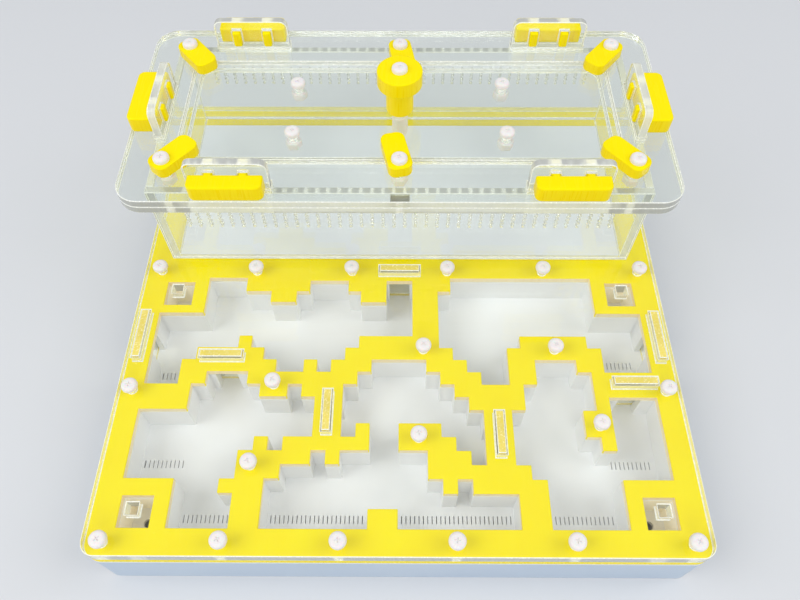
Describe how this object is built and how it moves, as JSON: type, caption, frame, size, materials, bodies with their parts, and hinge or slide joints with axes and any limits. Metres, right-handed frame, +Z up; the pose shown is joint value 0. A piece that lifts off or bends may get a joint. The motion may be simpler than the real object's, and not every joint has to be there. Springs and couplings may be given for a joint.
{
  "type": "ant habitat",
  "caption": "Square ant nest with pixel-shaped chambers under a clear screwed cover, lift-out gates and a clear foraging box with a latched lid and knob.",
  "frame": {"origin": "centre of the underside of the square nest, on the surface it stands on", "axes": "+Z up, front of the nest towards -Y, foraging box on the half towards +Y, +X to the right seen from the front"},
  "size_m": [0.2, 0.2, 0.0901],
  "materials": {
    "white_body": "satin white plastic",
    "white_sheet": "smooth white sheet",
    "yellow_acrylic": "polished opaque yellow acrylic",
    "clear_acrylic": "polished clear acrylic with bright cut edges",
    "gate_acrylic": "polished clear acrylic",
    "nylon": "natural white nylon"
  },
  "bodies": {
    "habitat": {"nest_tray": "white_body", "bottom_plate": "white_body", "walls_front_left": "white_body", "walls_front_right": "white_body", "walls_rear_left": "white_body", "walls_rear_right": "white_body", "mask_front_left": "yellow_acrylic", "mask_front_right": "yellow_acrylic", "mask_rear_left": "yellow_acrylic", "mask_rear_right": "yellow_acrylic", "cover_plate": "clear_acrylic", "cover_screws": "nylon", "box_front": "clear_acrylic", "box_rear": "clear_acrylic", "box_left": "clear_acrylic", "box_right": "clear_acrylic", "floor_sheet": "white_sheet", "frame_lower": "clear_acrylic", "frame_upper": "clear_acrylic", "lid_lower": "clear_acrylic", "lid_upper": "clear_acrylic", "lid_bolts": "nylon", "lid_nuts": "nylon", "knob_disc": "yellow_acrylic", "knob_neck": "yellow_acrylic", "knob_screw": "nylon", "knob_nut": "nylon", "latch_screws": "nylon", "latch_nuts": "nylon"},
    "gate_left": {"gate_left": "gate_acrylic"},
    "gate_right": {"gate_right": "gate_acrylic"},
    "gate_entry": {"gate_entry": "gate_acrylic"},
    "gate_left_middle": {"gate_left_middle": "gate_acrylic"},
    "gate_right_middle": {"gate_right_middle": "gate_acrylic"},
    "gate_front_left": {"gate_front_left": "gate_acrylic"},
    "gate_front_right": {"gate_front_right": "gate_acrylic"},
    "key_front_left": {"key_front_left": "yellow_acrylic"},
    "key_front_right": {"key_front_right": "yellow_acrylic"},
    "key_rear_left": {"key_rear_left": "yellow_acrylic"},
    "key_rear_right": {"key_rear_right": "yellow_acrylic"},
    "key_left": {"key_left": "yellow_acrylic"},
    "key_right": {"key_right": "yellow_acrylic"},
    "latch_front_left": {"latch_front_left": "yellow_acrylic"},
    "latch_front": {"latch_front": "yellow_acrylic"},
    "latch_front_right": {"latch_front_right": "yellow_acrylic"},
    "latch_rear_left": {"latch_rear_left": "yellow_acrylic"},
    "latch_rear": {"latch_rear": "yellow_acrylic"},
    "latch_rear_right": {"latch_rear_right": "yellow_acrylic"}
  },
  "joints": [
    {"name": "gate_left_lift", "type": "slide", "parent": "habitat", "child": "gate_left", "axis": [0, 0, 1], "range_m": [0, 0.016]},
    {"name": "gate_right_lift", "type": "slide", "parent": "habitat", "child": "gate_right", "axis": [0, 0, 1], "range_m": [0, 0.016]},
    {"name": "gate_entry_lift", "type": "slide", "parent": "habitat", "child": "gate_entry", "axis": [0, 0, 1], "range_m": [0, 0.016]},
    {"name": "gate_left_middle_lift", "type": "slide", "parent": "habitat", "child": "gate_left_middle", "axis": [0, 0, 1], "range_m": [0, 0.016]},
    {"name": "gate_right_middle_lift", "type": "slide", "parent": "habitat", "child": "gate_right_middle", "axis": [0, 0, 1], "range_m": [0, 0.016]},
    {"name": "gate_front_left_lift", "type": "slide", "parent": "habitat", "child": "gate_front_left", "axis": [0, 0, 1], "range_m": [0, 0.016]},
    {"name": "gate_front_right_lift", "type": "slide", "parent": "habitat", "child": "gate_front_right", "axis": [0, 0, 1], "range_m": [0, 0.016]},
    {"name": "key_front_left_pull", "type": "slide", "parent": "habitat", "child": "key_front_left", "axis": [0, -1, 0], "range_m": [0, 0.008]},
    {"name": "key_front_right_pull", "type": "slide", "parent": "habitat", "child": "key_front_right", "axis": [0, -1, 0], "range_m": [0, 0.008]},
    {"name": "key_rear_left_pull", "type": "slide", "parent": "habitat", "child": "key_rear_left", "axis": [0, 1, 0], "range_m": [0, 0.008]},
    {"name": "key_rear_right_pull", "type": "slide", "parent": "habitat", "child": "key_rear_right", "axis": [0, 1, 0], "range_m": [0, 0.008]},
    {"name": "key_left_pull", "type": "slide", "parent": "habitat", "child": "key_left", "axis": [-1, 0, 0], "range_m": [0, 0.008]},
    {"name": "key_right_pull", "type": "slide", "parent": "habitat", "child": "key_right", "axis": [1, 0, 0], "range_m": [0, 0.008]},
    {"name": "latch_front_left_turn", "type": "hinge", "parent": "habitat", "child": "latch_front_left", "pos_m": [-0.083, 0.0229, 0.07275], "axis": [0, 0, 1], "range_deg": [-40, 180]},
    {"name": "latch_front_turn", "type": "hinge", "parent": "habitat", "child": "latch_front", "pos_m": [0, 0.0229, 0.07275], "axis": [0, 0, 1], "continuous": true},
    {"name": "latch_front_right_turn", "type": "hinge", "parent": "habitat", "child": "latch_front_right", "pos_m": [0.083, 0.0229, 0.07275], "axis": [0, 0, 1], "range_deg": [-180, 40]},
    {"name": "latch_rear_left_turn", "type": "hinge", "parent": "habitat", "child": "latch_rear_left", "pos_m": [-0.083, 0.0844, 0.07275], "axis": [0, 0, 1], "range_deg": [-180, 40]},
    {"name": "latch_rear_turn", "type": "hinge", "parent": "habitat", "child": "latch_rear", "pos_m": [0, 0.0844, 0.07275], "axis": [0, 0, 1], "continuous": true},
    {"name": "latch_rear_right_turn", "type": "hinge", "parent": "habitat", "child": "latch_rear_right", "pos_m": [0.083, 0.0844, 0.07275], "axis": [0, 0, 1], "range_deg": [-40, 180]}
  ]
}
